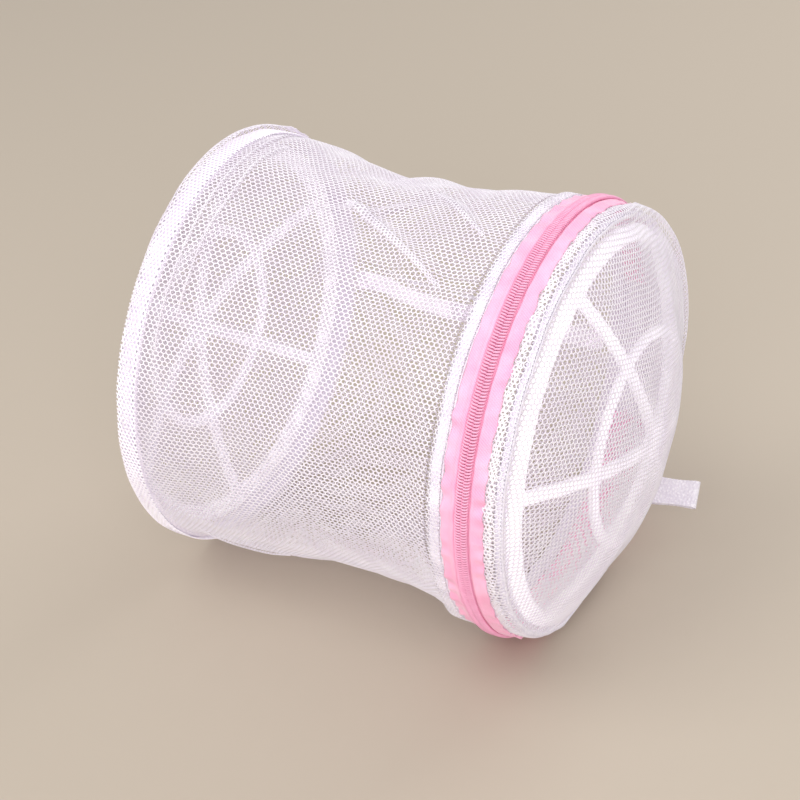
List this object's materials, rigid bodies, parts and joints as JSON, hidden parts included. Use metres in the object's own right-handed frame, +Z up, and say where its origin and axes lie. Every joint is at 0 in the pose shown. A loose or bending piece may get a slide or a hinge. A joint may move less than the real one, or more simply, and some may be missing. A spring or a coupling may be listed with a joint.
{
  "type": "mesh laundry bag",
  "caption": "Cylindrical net wash bag with a domed plastic cage in each end and a zipped lid, lying on its side.",
  "frame": {"origin": "middle of the bounding box's footprint, on the surface the bag lies on", "axes": "+X along the drum's axis towards the zipped lid, +Y towards the side the lid is hinged on, +Z up"},
  "size_m": [0.182, 0.1516, 0.1505],
  "materials": {
    "net": "warp-knitted polyester net, matt",
    "binding": "dense knitted binding, matt",
    "knit": "ribbed knitted tape, matt",
    "cage_plastic": "injection-moulded, satin to gloss",
    "zip_tape": "woven polyester tape, matt",
    "zip_coil": "nylon monofilament, satin",
    "zip_metal": "die-cast zinc, enamelled"
  },
  "bodies": {
    "drum": {"side_mesh": "net", "side_seam": "net", "collar_hem": "net", "zip_tape_body": "zip_tape", "zip_coil_body": "zip_coil", "zip_stop_closed": "zip_coil", "zip_stop_open": "zip_coil", "hinge_patch": "net"},
    "base": {"base_cage": "cage_plastic", "base_net_outer": "net", "base_net_inner": "net", "base_binding": "binding"},
    "lid": {"lid_cage": "cage_plastic", "lid_net_outer": "net", "lid_net_inner": "net", "lid_binding": "binding", "lid_skirt": "net", "zip_tape_lid": "zip_tape", "zip_coil_lid": "zip_coil"},
    "slider": {"zip_slider": "zip_metal"},
    "pull": {"zip_pull": "zip_metal"},
    "tab": {"tab_loop": "knit"}
  },
  "joints": [
    {"name": "collapse", "type": "slide", "parent": "drum", "child": "base", "axis": [1, 0, 0], "range_m": [0, 0.098], "deforming": ["side_mesh", "side_seam"]},
    {"name": "lid_hinge", "type": "hinge", "parent": "drum", "child": "lid", "pos_m": [0.063, 0.077, 0.074], "axis": [0, 0, 1], "range_deg": [0, 110]},
    {"name": "slider_run", "type": "hinge", "parent": "drum", "child": "slider", "pos_m": [0.056, 0, 0.074], "axis": [-1, 0, 0], "range_deg": [0, 305]},
    {"name": "pull_swing", "type": "hinge", "parent": "slider", "child": "pull", "pos_m": [0.056, 0.06718, 0.03037], "axis": [1, 0, 0], "range_deg": [-33, 147]},
    {"name": "tab_flex", "type": "hinge", "parent": "lid", "child": "tab", "pos_m": [0.0704, 0.05057, 0.02163], "axis": [-0.1392, 0.7124, 0.6879], "range_deg": [-30, 30], "stiffness_Nm_per_rad": 0.002}
  ]
}
